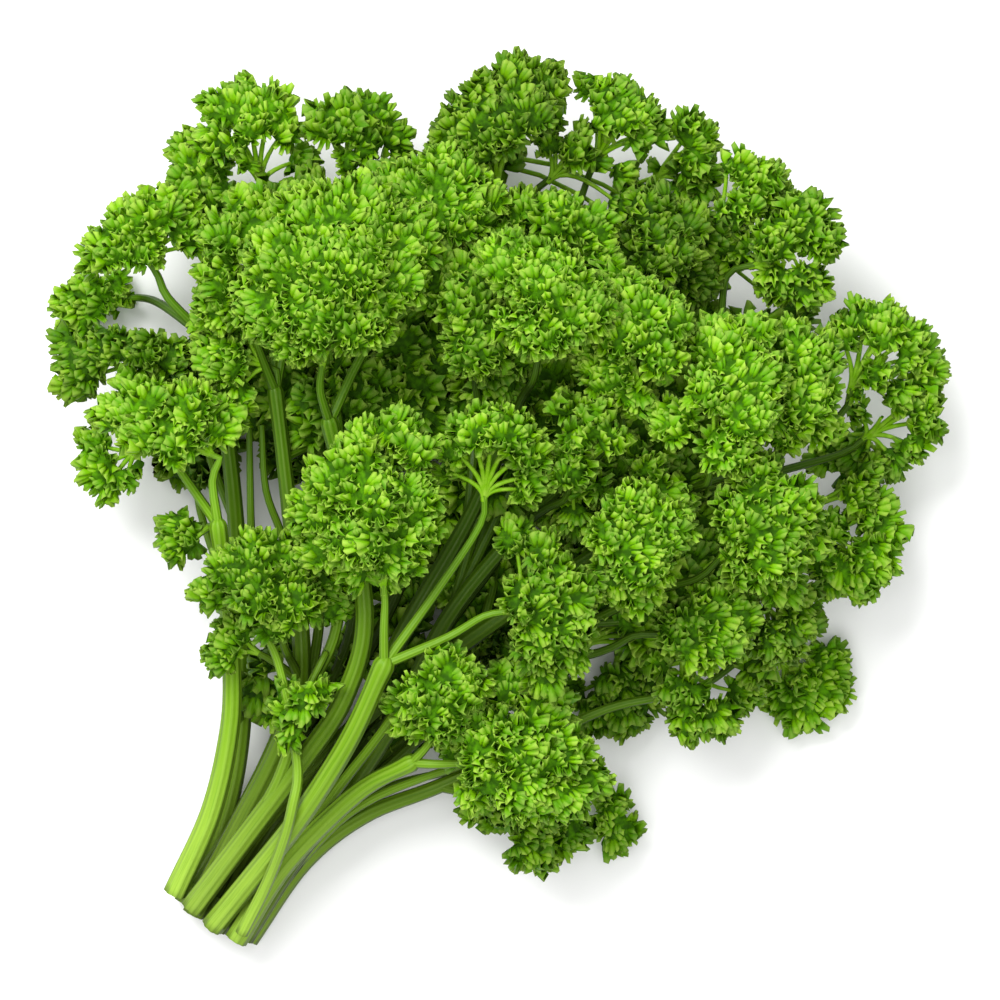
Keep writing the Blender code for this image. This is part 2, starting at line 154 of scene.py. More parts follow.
LEAF_HEADS = {
    "leaf_crown": Head("stalk_crown", 6, [], (117, 40, 52), (151, 55, 68), 41, 28, tone=0.62,
        lobes=[(124, 57, 8), (134, 60, 8), (144, 58, 8), (150, 49, 9), (151, 39, 8), (140, 48, 10),
        (128, 48, 9), (121, 49, 7), (131, 39, 8), (142, 36, 7)]),
    "leaf_crown_right": Head("stalk_crown", 6, [(128, 34, 43)], (150, 30, 44), (169, 38, 47), 30, 17,
        lobes=[(160, 46, 6.5), (168, 38, 7), (167, 28, 6), (162.5, 31, 7.5), (157, 37, 6.5),
        (168, 19, 6), (161, 22, 6)]),
    "leaf_crown_far": Head("stalk_crown", 5, [(118, 38, 33), (138, 50, 30)], (154, 56, 30),
        (174, 65, 34), 22, 12, tone=0.45, lobes=[(164.5, 67.5, 4.8), (169.5, 64, 5), (172, 58.5, 5),
        (170, 52.5, 4.6), (160, 58, 4), (165, 56, 4), (167, 61, 4.4), (163, 63, 3.4),
        (166, 49.5, 3.6)]),
    "leaf_centre": Head("stalk_centre", 4, [(75, 0, 54)], (82, 4, 56), (115, 27, 68), 31, 24,
        tone=0.62, lobes=[(104, 24, 6), (97, 26, 6), (89, 26, 6), (83, 21, 5.5), (83, 12, 5),
        (90, 15, 7.5), (99, 15, 7), (104, 8, 5.5), (97, 5, 6), (90, 5, 6), (84, 4, 4), (114, 19, 5.5),
        (109, 25, 4.5), (112, 13, 4.8)]),
    "leaf_centre_right": Head("stalk_centre", 4, [(88, -6, 50)], (110, -5, 53), (132, 4, 62), 26, 20,
        lobes=[(121.3, 5.4, 5), (125.2, 1.4, 5.4), (126.3, -3.8, 5.4), (124.4, -8.7, 5.2),
        (120.1, -11.9, 5), (116.2, 6.6, 4.4), (111.5, 5.4, 3.4), (116.6, -11.8, 4.2)]),
    "leaf_centre_low": Head("stalk_centre", 4, [(80, -13, 51)], (91, -21, 51), (104, -36, 55), 33, 20,
        tone=0.4, lobes=[(106, -15, 5), (107, -22, 5), (102, -28, 6), (96, -24, 6), (96, -34, 6.5),
        (89, -31, 6), (84, -36, 5.5), (90, -39, 4.5), (104, -34, 4.8)]),
    "leaf_ridge": Head("stalk_ridge", 6, [(134, -1, 50)], (142, 0, 60), (170, 9, 73), 24, 21,
        tone=0.7, lobes=[(158, 16, 7), (159, 7, 8), (157, -2, 7.5), (150, 3, 7.5), (147, 9, 5),
        (150, -4, 4.5)]),
    "leaf_ridge_left": Head("stalk_ridge", 6, [(127, 3, 46)], (131, 9, 50), (151, 24, 57), 17, 16,
        tone=0.4, lobes=[(150, 27, 6), (153, 21, 6), (146, 20, 7), (139, 13, 7.5), (134, 6, 6),
        (143, 27, 4.5), (142, 5, 5.5)]),
    "leaf_ridge_far": Head("stalk_ridge", 5, [(130, 8, 34), (150, 18, 34)], (169, 26, 38),
        (196, 41, 42), 33, 22, tone=0.25, lobes=[(172, 41, 5), (180, 41, 5.5), (188, 39, 5.5),
        (194, 35, 6), (196, 29, 5.5), (184, 35, 8), (176, 37, 7), (189, 30, 6.5)]),
    "leaf_east": Head("stalk_east", 5, [(116, -18, 44)], (121, -20, 49), (142, -17, 61), 19, 18,
        tone=0.45, lobes=[(137, -10, 4.2), (138, -17, 5), (135, -23, 4.5), (126, -18, 5.5),
        (124, -24, 4.5), (117, -24, 4.8), (131, -16, 4.5)]),
    "leaf_east_high": Head("stalk_east", 5, [(126, -20, 42)], (142, -22, 52), (171, -15, 62), 22, 20,
        lobes=[(165, -12, 6), (164, -20, 6), (157, -23, 5.5), (157, -13, 6.5), (148, -14, 6.5),
        (146, -22, 4.5), (152, -8, 4.5), (166, -5, 5)]),
    "leaf_east_dark": Head("stalk_east", 4, [(120, -9, 28), (148, -12, 30)], (168, -13, 36),
        (189, -5, 44), 22, 16, tone=0.16, lobes=[(184, -5, 6), (178, -12, 7.5), (186, -14, 5),
        (176, -21, 6), (174, -3, 5), (186, -20, 4.5)]),
    "leaf_east_far": Head("stalk_east", 4, [(120, -3, 24), (155, 4, 22)], (186, 11, 26),
        (207, 14, 32), 22, 14, lobes=[(201, 21, 3.8), (200.5, 16, 4.4), (202, 13, 5), (201.5, 8, 5),
        (196.4, 5.2, 4), (198, 11, 4.6), (199.8, 3, 4.4), (195, 14.5, 3.6)]),
    "leaf_east_tip": Head("stalk_east", 4, [(125, -6, 21), (160, -4, 16)], (190, -2, 17),
        (209, -4, 22), 13, 11, lobes=[(204.4, -3.6, 4.8), (203.4, -6.6, 4.4), (198, -8, 5),
        (194, -11, 5), (198.5, -12, 3.6), (190.7, -6.2, 3.8), (187.3, 1.5, 4), (193.6, -0.5, 3.2)]),
    "leaf_south": Head("stalk_south", 3, [(56, -21, 39)], (60, -21, 41), (79, -13, 48), 23, 17,
        lobes=[(75, -15, 5), (72, -21, 6), (66, -14, 5.5), (62, -11, 4), (64, -21, 6),
        (59, -16, 4.5)]),
    "leaf_south_big": Head("stalk_south", 3, [(54, -24, 38)], (57, -29, 38), (75, -56, 42), 29, 22,
        tone=0.62, lobes=[(77, -31, 6), (77, -40, 6), (71, -48, 6), (69, -56, 5), (66, -31, 7),
        (67, -40, 7.5), (59, -36, 6.5), (59, -45, 7), (62, -53, 6), (53, -36, 4.8), (60, -27, 5),
        (68, -26, 5.5)]),
    "leaf_south_edge": Head("stalk_edge", 3, [(52, -34, 14)], (54, -37, 16), (48, -57, 20), 21, 16,
        tone=0.35, lobes=[(54, -51, 5.5), (55, -58, 5.2), (48, -55, 5.2), (52, -43, 5.2),
        (46.5, -51, 4), (50, -38, 4.4)]),
    "leaf_south_tip": Head("stalk_edge", 4, [(68, -50, 11)], (65, -58, 4), (61, -73, 3), 14, 14,
        lobes=[(66, -64, 4.2), (62, -69, 4.2), (61, -64, 4), (58, -68, 4)]),
    "leaf_far_east": Head("stalk_far_east", 6, [(136, -44, 42)], (140, -45, 49), (167, -36, 59), 24,
        20, tone=0.72, lobes=[(165, -33, 7), (163, -43, 7), (155, -46, 6.5), (147, -46, 6.5),
        (146, -32, 5.8), (156, -36, 6), (171, -38, 5.5)]),
    "leaf_far_east_right": Head("stalk_far_east", 6, [(140, -47, 38)], (152, -56, 40), (180, -47, 47),
        28, 17, lobes=[(172, -53, 6.5), (165, -55, 7), (157, -54, 6), (161, -62, 4.5),
        (174, -46, 5.5), (178, -53, 4)]),
    "leaf_far_east_top": Head("stalk_far_east", 5, [(140, -32, 26), (165, -24, 26)], (186, -19, 28),
        (208, -20, 34), 18, 14, lobes=[(202.4, -18, 4.6), (202, -23, 5), (196, -23, 4.8),
        (191, -21, 4.8), (201, -14.4, 3.2), (200, -29, 5), (195, -29, 3.6)]),
    "leaf_far_east_side": Head("stalk_far_east", 5, [(140, -36, 28), (166, -32, 30)], (184, -30, 34),
        (200, -43, 40), 23, 14, lobes=[(200, -35, 5.8), (197, -41, 5.2), (192, -32, 6),
        (187, -43, 5.8), (184, -37, 5.2), (186, -25, 5.6), (178, -23, 4.6)]),
    "leaf_corner": Head("stalk_far_east", 6, [(150, -55, 28)], (171, -63, 28), (192, -60, 32), 24, 14,
        lobes=[(187.5, -57, 4.4), (189.2, -62, 4.8), (188, -69, 5), (184, -76, 5), (186, -73, 4.4),
        (177, -66, 4.4), (185, -63, 4.6), (177, -72, 4.4), (181, -55, 5), (182, -70, 3.6),
        (172, -65, 3.4)]),
    "leaf_corner_low": Head("stalk_far_east", 6, [(148, -58, 22)], (164, -71, 18), (183, -80, 20), 24,
        16, lobes=[(169, -67, 3.8), (162, -66, 3.8), (175, -75, 4), (177, -79, 4.6),
        (180.5, -78, 4.2), (174, -81, 4.4), (168, -81.5, 4.4), (163, -79, 4.8), (161, -71, 5),
        (156, -66, 4.5), (170, -72, 2.6), (155, -74, 4.5)]),
    "leaf_southeast": Head("stalk_southeast", 5, [(101, -37, 38)], (106, -36, 50), (134, -41, 62), 24,
        20, tone=0.6, lobes=[(126, -34, 6), (125, -43, 6.2), (118, -33, 6), (116, -42, 7),
        (109, -38, 6), (110, -45, 5)]),
    "leaf_southeast_right": Head("stalk_southeast", 5, [(112, -48, 34)], (124, -56, 42),
        (147, -63, 52), 26, 20, tone=0.55, lobes=[(145, -54, 6), (142, -64, 7), (135, -56, 6.5),
        (133, -66, 7.5), (127, -62, 6), (127, -71, 5.5), (137, -71, 5)]),
    "leaf_southeast_low": Head("stalk_southeast", 5, [(116, -54, 26)], (123, -67, 28), (119, -86, 30),
        18, 14, tone=0.15, lobes=[(126, -76, 5), (122, -80, 4.5), (116, -77, 6), (109, -76, 5)]),
    "leaf_southeast_far": Head("stalk_southeast", 5, [(124, -55, 21)], (140, -69, 20), (142, -92, 20),
        23, 16, lobes=[(151, -81, 5.8), (148, -87, 4.6), (141, -86, 6), (136, -85.5, 5.2),
        (136, -78, 5), (144, -75, 4.8), (132, -80, 4.2)]),
    "leaf_edge": Head("stalk_southeast", 4, [(94, -44, 28)], (103, -52, 32), (117, -73, 36), 21, 16,
        lobes=[(116, -60, 6), (117, -67, 5), (110, -66, 6), (107, -57, 6), (104, -63, 4.5)]),
    "leaf_edge_low": Head("stalk_southeast", 5, [(100, -43, 17)], (95, -48, 6), (80, -57, 3.6), 18,
        16, tone=0.25, lobes=[(91, -57, 5.2), (85, -56, 5.8), (81, -51, 5), (88, -50, 5),
        (83, -44, 4), (94, -52, 4.2)]),
    "leaf_edge_right": Head("stalk_southeast", 5, [(105, -50, 27)], (102, -60, 25), (89, -73, 24), 20,
        14, tone=0.4, lobes=[(98, -57, 4.4), (95, -63, 4.8), (90, -69, 5), (95, -74, 5.2),
        (102, -76, 5), (97, -68, 4)]),
    "leaf_edge_far": Head("stalk_edge", 4, [(84, -52, 16), (98, -67, 14)], (112, -80, 4),
        (110, -97, 3.3), 19, 15, lobes=[(117, -89, 5.2), (111, -93, 5.2), (105, -90, 5.4),
        (104, -84, 4.2), (111, -87, 4.4), (107, -83, 3.6)]),
    "leaf_north": Head("stalk_north", 6, [(112, 52, 36)], (118, 58, 40), (142, 76, 44), 28, 18,
        tone=0.6, lobes=[(140, 71, 6), (132, 73, 6), (123.5, 70, 5.5), (144, 65, 5.5), (136, 64, 6),
        (118, 67, 6), (111, 63, 5.5)]),
    "leaf_north_far": Head("stalk_north", 6, [(128, 60, 28)], (145, 72, 26), (164, 88, 32), 22, 14,
        lobes=[(161, 85, 5.2), (162.5, 79, 5), (156, 89, 4.8), (156, 81, 5), (159, 74, 4.8),
        (155, 68, 4.2), (149, 86, 5), (148, 78, 3.5), (151, 81, 3.6)]),
    "leaf_north_side": Head("stalk_northwest", 6, [(124, 70, 22)], (138, 74, 17), (143, 94, 20), 15,
        13, tone=0.6, lobes=[(145, 89, 5.8), (139, 87, 5), (139, 81, 5.4), (134, 84, 5),
        (136, 76, 4.4), (145, 84, 4.6)]),
    "leaf_wood": Head("stalk_north", 3, [(58, 14, 31)], (61, 18, 38), (77, 36, 48), 32, 20, tone=0.45,
        lobes=[(69, 36, 5.5), (63, 37, 5), (75, 32, 6), (67, 28, 6), (78, 25, 6), (71, 20, 6),
        (64, 21, 5), (79, 16, 5.5), (73, 12, 4.5)]),
    "leaf_west": Head("stalk_west", 5, [(84, 49, 39)], (89, 51, 40), (84, 79, 42), 25, 17, tone=0.68,
        lobes=[(96, 62, 6), (96, 54, 5.8), (88, 60, 6), (92, 70, 6), (85, 67, 5.2), (86, 75, 5.2),
        (93, 76, 4)]),
    "leaf_west_low": Head("stalk_west", 5, [(82, 56, 28)], (83, 67, 22), (68, 72, 18), 14, 12,
        lobes=[(78, 76, 4.5), (74, 73, 4.8), (71, 69, 4), (75, 66, 3.8), (79, 65, 3.2)]),
    "leaf_northwest": Head("stalk_northwest", 5, [(102, 62, 28)], (106, 67, 30), (90, 91, 30), 15, 13,
        tone=0.25, lobes=[(103, 70, 5.2), (101, 77, 5.4), (98, 84, 5.4), (92, 87, 5.8), (88, 86, 5.2),
        (94, 92, 4)]),
    "leaf_northwest_top": Head("stalk_northwest", 6, [(114, 78, 29)], (118, 84, 30), (127, 101, 34),
        25, 13, lobes=[(130, 89.5, 5.2), (124, 93.5, 5.4), (117, 94.5, 5.6), (121, 88, 5.5),
        (129, 82, 5.6), (128, 77, 4.2), (134, 86, 4.4), (113.5, 96.5, 4.4)]),
    "leaf_northwest_tip": Head("stalk_northwest", 6, [(112, 79, 15)], (108, 88, 4.5), (99, 100, 3),
        17, 14, lobes=[(107, 95, 4.6), (102, 97, 4.6), (108, 89, 4.2), (99, 93, 4.8), (104, 91, 3.6),
        (111.5, 90.5, 3.4)]),
    # Heads beneath the bunch, with near-black tones as painted shade.
    "leaf_under_west": Head("stalk_northwest", 3, [(67, 38, 9)], (81, 52, 5.5), (99, 65, 4.8), 22, 20,
        tone=0.1),
    "leaf_under_north": Head("stalk_northwest", 3, [(78, 28, 10)], (94, 30, 5.5), (120, 42, 4.8), 30,
        24, tone=0.05),
    "leaf_under_crown": Head("stalk_north", 4, [(100, 20, 18), (122, 15, 12)], (136, 18, 5.5),
        (163, 28, 4.8), 30, 24, tone=0.12),
    "leaf_under_middle": Head("stalk_far_east", 3, [(70, -2, 11)], (82, 3, 5.5), (108, 8, 4.8), 28,
        24, tone=0.12),
    "leaf_under_east": Head("stalk_far_east", 4, [(104, -14, 16), (122, -12, 11)], (134, -12, 5.5),
        (162, -16, 4.8), 28, 24, tone=0.12),
    "leaf_under_south": Head("stalk_southeast", 3, [(72, -18, 9)], (80, -20, 5), (104, -26, 4.5), 26,
        22, tone=0.12),
    "leaf_under_corner": Head("stalk_southeast", 5, [(110, -40, 16)], (122, -43, 5), (148, -48, 4.5),
        27, 22, tone=0.12),
}

# Small leaflets that grow straight on a stalk.
LEAFLETS = {
    "leaflet_west": Head("stalk_west", 5, [], (74, 45, 33), (63, 50, 31), 10, 5, lobes=[(71, 50, 4.8),
        (67, 48.5, 4.2), (70, 46, 3.2)]),
    "leaflet_low": Head("stalk_crown", 2, [], (43, 5, 33), (54, 14, 37), 12, 4, lobes=[(48, 9, 4),
        (52, 12, 3.8)]),
}

# Sprays of leaf between the heads, and fills of plain leaf low down inside the bunch, whose dark tones
# are painted shade.
SPRAYS = {
    "spray_southeast_edge": Head("stalk_southeast", 5, [(124, -54, 20)], (144, -68, 20),
        (158, -76, 22), 12, 9, lobes=[(153, -76, 5), (158, -76, 4.5)]),
    "spray_ridge_top": Head("stalk_ridge", 6, [], (148, 8, 43), (176, 8, 50), 26, 12,
        lobes=[(172, 12, 6.5), (174, 4, 5.5), (168, -1, 5.5), (169, 20.5, 5)]),
    "spray_link": Head("stalk_ridge", 6, [(150, 10, 34)], (178, 18, 30), (191, 16, 32), 18, 9,
        tone=0.3, lobes=[(185, 22, 4), (190, 24.5, 4.4), (187, 16, 4.8), (188.3, 5, 4),
        (192, 17, 3.4), (181.6, 1.2, 4.6), (187.5, 10.5, 3.6)]),
    "spray_north_dark": Head("stalk_north", 6, [], (136, 56, 31), (154, 60, 33), 20, 10, tone=0.2,
        lobes=[(150, 62, 5.5), (153, 55, 5), (146, 69, 4.2)]),
    "spray_west_top": Head("stalk_north", 6, [], (112, 50, 33), (110, 66, 36), 20, 10,
        lobes=[(113, 66, 4.8), (108, 60, 5.8), (103, 54, 5), (118, 61, 4.5)]),
    "spray_east_low": Head("stalk_southeast", 5, [(108, -37, 36)], (122, -37, 40), (138, -34, 44), 18,
        10, lobes=[(134, -33, 5), (131, -41, 5.2), (137, -28, 3.8)]),
    "spray_wood_side": Head("stalk_north", 3, [], (56, 20, 30), (56, 32, 34), 12, 9,
        lobes=[(58, 28, 5), (52, 28, 4.8), (62, 31, 4)]),
    "spray_wood_low": Head("stalk_north", 2, [], (58, 8, 38), (42, 7, 40), 10, 8, lobes=[(52, 7, 4.5),
        (56, 5, 4), (47, 9, 3.6), (44, 6, 3.6), (48, 4, 3)]),
    "fill_stems": Head("stalk_southeast", 1, [], (40, -9, 9), (86, -8, 14), 20, 8, tone=0.15,
        lobes=[(46, -9, 4), (54, -10, 5), (62, -10, 5.5), (54, -17, 4.5), (62, -20, 5.5), (71, -8, 6),
        (72, -18, 6), (80, -3, 6), (88, 0, 6)]),
    "fill_stems_west": Head("stalk_north", 1, [], (44, 5, 11), (84, 8, 16), 12, 8, tone=0.15,
        lobes=[(50, 5, 4), (58, 4, 4.5), (66, 3, 5), (74, 6, 5), (82, 9, 5)]),
    "fill_wood": Head("stalk_northwest", 2, [], (50, 20, 20), (62, 16, 20), 12, 8, tone=0.15,
        lobes=[(54, 20, 4.5), (48, 18, 4.4), (60, 18, 4.5), (58, 6, 4), (46, 13, 4), (51, 13, 4.4)]),
    "fill_north": Head("stalk_north", 5, [], (104, 34, 26), (140, 24, 28), 40, 16, tone=0.34,
        lobes=[(120, 30, 10), (130, 20, 9), (112, 22, 9), (122, 15, 8), (108, 38, 8), (134, 32, 8),
        (146, 34, 8), (114, 50, 8), (126, 46, 9), (104, 48, 7)]),
    "fill_middle": Head("stalk_ridge", 5, [], (112, -4, 28), (160, 8, 32), 34, 16, tone=0.34,
        lobes=[(138, 2, 9), (128, 4, 8), (146, -6, 8), (118, 2, 7), (134, -10, 8), (150, 14, 8),
        (124, -12, 8), (112, -8, 7), (160, 22, 8), (166, 8, 8), (106, 3, 7), (98, 3, 6)]),
    "fill_east": Head("stalk_far_east", 5, [], (118, -30, 26), (166, -24, 30), 34, 16, tone=0.34,
        lobes=[(142, -24, 9), (152, -30, 8), (132, -28, 8), (160, -22, 8), (167, -27, 6.4),
        (172, -14, 8), (120, -22, 8), (138, -38, 8), (148, -42, 7)]),
    "fill_south": Head("stalk_southeast", 4, [], (92, -40, 18), (134, -52, 24), 30, 16, tone=0.34,
        lobes=[(106, -48, 8), (116, -50, 9), (126, -50, 8), (136, -50, 8), (104, -36, 8),
        (114, -30, 8), (124, -62, 7), (112, -60, 7), (99, -54, 5), (104, -60, 5)]),
    "fill_low": Head("stalk_far_east", 3, [], (80, -20, 12), (104, -18, 14), 24, 12, tone=0.34,
        lobes=[(92, -12, 7), (84, -16, 6), (98, -20, 7), (102, -12, 6), (94, -30, 7), (86, -28, 6)]),
    "fill_west": Head("stalk_northwest", 4, [], (92, 56, 18), (108, 70, 18), 24, 12, tone=0.34,
        lobes=[(96, 62, 7), (88, 66, 6), (100, 72, 6), (108, 64, 7), (116, 64, 6)]),
    "fill_far": Head("stalk_crown", 5, [(130, 24, 24)], (160, 40, 22), (184, 40, 24), 24, 12,
        tone=0.25, lobes=[(180, -44, 5), (172, -38, 6), (178, 30, 5), (184, 40, 6), (176, 40, 6),
        (164, 44, 6)]),
}

# ---- Sizes of the fine work, in millimetres unless a line says otherwise ---------------------------

BLADE_LENGTH = 4.5              # a frilled blade, from its root to its longest tooth
BLADE_SPACING = 1.75
FILL_BLADE_LENGTH = 6.0         # the same for the leaf low down inside the bunch
FILL_BLADE_SPACING = 2.9
BLADE_PROUD = 0.66              # the share of a blade that stands out of its head's skin
SKIN_INSET = 1.7                # how far a head's skin is inside its full size
SKIN_CELL = 1.0
SKIN_BAND = 3.0                 # how deep the skin's volume is filled
BLADES_AT_MOST = 900000.0       # blades to a square metre of skin
BLADE_SIZES = (0.75, 1.2)       # the smallest and the largest blade, as a share of the length
BLADE_TURN = 0.8                # the most that a blade turns about itself, in radians
GROWTH_OUT = 0.70               # how much a blade grows straight out of the skin, away from the
GROWTH_SPREAD = 0.60            # head's core along the skin, and any way at random
GROWTH_RANDOM = 0.38
RIB_SHADE = 0.7                 # how light a rib and the bare skin are, from a blade's root to its tip: the ribs' own colour is pale, and the skin is dark as painted shade
SKIN_SHADE = 0.16
DRAWN_TONES = (0.42, 0.68)      # the tone of a head that has none of its own is drawn from these
LOBE_FULLNESS = 1.16            # widens each lobe of a head so that neighbours join
LOBE_FLATNESS = 0.80            # a lobe's height, as a share of its width
DOME_RISE = 0.34                # how far a head's middle is above its axis, as a share of its depth
DOME_FALL = 1.5                 # how fast that turns into a drop towards the rim, and how far out
DOME_REACH = 1.15               # from the middle the drop goes on, in half spans
LOBE_LUMPS = 0.14               # how uneven a lobe is, as a share of its radius
HEAD_LUMPS = 0.18               # the same for a head that is one ball
ROUTE_STEP = 2.5
SIDE_STEM_START = 2.4           # diameters of a side stem
SIDE_STEM_END = 1.5
SIDE_STEM_DEPTH = 1.5           # how far a side stem runs into its head
SIDE_STEM_APPROACH = 7          # how far before its end it lines up with its head
RIB_START = 1.4                 # diameters of the ribs that run on to the lobes
RIB_END = 0.8
RIB_POINTS = 9
STEM_RIBS = 9                   # ridges round a stem
STEM_GROOVE = 0.10              # how deep the grooves between them are, as a share of its radius
FORK_SWELLING = 0.16            # how much a stalk swells at its fork, and over what share of its length
FORK_LENGTH = 0.05
FORK_END = ((0.25, 0.85), (0.45, 0.5), (0.5, 0.1))      # past the fork: how far in diameters, how wide
SURFACE_CLEARANCE = 0.3         # the lowest that any leaf reaches above the surface

# ---- Small helpers --------------------------------------------------------------------------------


def placed(point):
    """A layout point, in metres from the bunch's own origin."""
    x, y, z = point
    return Vector((x - LAYOUT_MIDDLE[0], y - LAYOUT_MIDDLE[1], z)) * MM


def smooth_route(points):
    """Points along a smooth curve through the given ones, at most ROUTE_STEP apart."""
    ends = [points[0] * 2 - points[1], *points, points[-1] * 2 - points[-2]]
    route = []
    for before, start, end, after in zip(ends, ends[1:], ends[2:], ends[3:]):
        pieces = math.ceil((end - start).length / (ROUTE_STEP * MM))
        for piece in range(pieces):
            t = piece / pieces
            slope = (end - before) * t
            bend = (before * 2 - start * 5 + end * 4 - after) * t ** 2
            twist = (start * 3 - before - end * 3 + after) * t ** 3
            route.append((start * 2 + slope + bend + twist) / 2)
    route.append(points[-1])
    return route


def in_scene(name, data):
    """A new object that shows the data, in the scene."""
    made = bpy.data.objects.new(name, data)
    bpy.context.scene.collection.objects.link(made)
    return made


def new_curve(name):
    curve = bpy.data.curves.new(name, "CURVE")
    curve.dimensions = "3D"
    return curve


def finished_mesh(name, body):
    mesh = bpy.data.meshes.new(name)
    body.to_mesh(mesh)
    body.free()
    return mesh


class Steps:
    """Adds nodes to a tree and links them, so that a tree reads as a list of steps."""

    def __init__(self, tree):
        self.tree = tree

    def feed(self, sockets, values):
        """Gives each named socket a value of its own or a link from another node."""
        for name, value in values.items():
            if isinstance(value, bpy.types.NodeSocket):
                self.tree.links.new(value, sockets[name])
            else:
                sockets[name].default_value = value

    def add(self, kind, inputs=None, **settings):
        """Adds a node and gives its outputs."""
        node = self.tree.nodes.new(kind)
        for name, value in settings.items():
            setattr(node, name, value)
        self.feed(node.inputs, inputs or {})
        return node.outputs

    def math(self, operation, first, second=0.0):
        return self.add("ShaderNodeMath", {0: first, 1: second}, operation=operation)[0]

    def vector(self, operation, first, second=(0, 0, 0), output=0):
        inputs = {0: first, 1: second}
        return self.add("ShaderNodeVectorMath", inputs, operation=operation)[output]

    def scaled(self, vector, scale):
        return self.add("ShaderNodeVectorMath", {0: vector, "Scale": scale}, operation="SCALE")[0]

    def ramp(self, value, low, high, to_low=0.0, to_high=1.0):
        inputs = {"Value": value, "From Min": low, "From Max": high, "To Min": to_low,
                  "To Max": to_high}
        return self.add("ShaderNodeMapRange", inputs, interpolation_type="SMOOTHSTEP")[0]

    def mix_colour(self, share, first, second):
        return self.add("ShaderNodeMix", {0: share, 6: first, 7: second}, data_type="RGBA")[2]

    def toned(self, colour, value, hue=0.5):
        """The colour with its lightness multiplied."""
        inputs = {"Hue": hue, "Saturation": 1.0, "Value": value, "Color": colour}
        return self.add("ShaderNodeHueSaturation", inputs)[0]

    def noise(self, place, scale, detail):
        inputs = {"Vector": place, "Scale": scale, "Detail": detail}
        return self.add("ShaderNodeTexNoise", inputs)["Fac"]

    def bump(self, height, strength, distance):
        inputs = {"Height": height, "Strength": strength, "Distance": distance}
        return self.add("ShaderNodeBump", inputs)["Normal"]

    def attribute(self, name, output="Fac"):
        return self.add("ShaderNodeAttribute", attribute_name=name)[output]

    def random_number(self, low, high, seed):
        return self.add("FunctionNodeRandomValue", {2: low, 3: high, 8: seed}, data_type="FLOAT")[1]

    def random_vector(self, size, seed):
        inputs = {0: (-size, -size, -size), 1: (size, size, size), 8: seed}
        return self.add("FunctionNodeRandomValue", inputs, data_type="FLOAT_VECTOR")[0]

    def stored(self, geometry, name, value, data_type="FLOAT", domain="POINT"):
        """The geometry with the value kept on it under the name."""
        inputs = {"Geometry": geometry, "Name": name, "Value": value}
        return self.add("GeometryNodeStoreNamedAttribute", inputs, data_type=data_type,
                        domain=domain)[0]

    def tube(self, routes, outline):
        """The outline swept along the routes, as thick as they are at each point."""
        radius = self.add("GeometryNodeInputRadius")[0]
        inputs = {"Curve": routes, "Profile Curve": outline, "Scale": radius, "Fill Caps": True}
        return self.add("GeometryNodeCurveToMesh", inputs)[0]

    def smooth(self, geometry):
        return self.add("GeometryNodeSetShadeSmooth", {"Geometry": geometry})[0]

    def moved(self, geometry, place):
        return self.add("GeometryNodeSetPosition", {"Geometry": geometry, "Position": place})[0]

    def finished(self, geometry, finish):
        return self.add("GeometryNodeSetMaterial", {"Geometry": geometry, "Material": finish})[0]


def new_tree(name, kind, inputs, outputs):
    """A node tree with named sockets, its steps, and the sockets of its inputs and of its outputs.
    Each input is given by its first value or by its kind."""
    tree = bpy.data.node_groups.new(name, kind)
    number_kinds = {float: "Float", int: "Int"}
    for label, value in inputs.items():
        is_kind = isinstance(value, str)
        socket = "NodeSocket" + (value if is_kind else number_kinds[type(value)])
        made = tree.interface.new_socket(name=label, in_out="INPUT", socket_type=socket)
        if not is_kind:
            made.default_value = value
    for label, value in outputs.items():
        tree.interface.new_socket(name=label, in_out="OUTPUT", socket_type="NodeSocket" + value)
    result = tree.nodes.new("NodeGroupOutput").inputs
    steps = Steps(tree)
    return tree, steps, steps.add("NodeGroupInput"), result


def grown(source, tree, values, name):
    """The plain mesh that a geometry tree makes of an object, as a new object."""
    modifier = source.modifiers.new("grow", "NODES")
    modifier.node_group = tree
    for item in tree.interface.items_tree:
        if item.in_out == "INPUT" and item.name in values:
            modifier[item.identifier] = values[item.name]
    bpy.context.view_layer.update()
    graph = bpy.context.evaluated_depsgraph_get()
    mesh = bpy.data.meshes.new_from_object(source.evaluated_get(graph))
    mesh.name = name
    bpy.data.objects.remove(source, do_unlink=True)
    return in_scene(name, mesh)


# ---- Finishes -------------------------------------------------------------------------------------


def new_material(name):
    """A material, the steps of its tree and the sockets of its shader."""
    material = bpy.data.materials.new(name)
    material.use_nodes = True
    tree = material.node_tree
    return material, Steps(tree), tree.nodes["Principled BSDF"].inputs


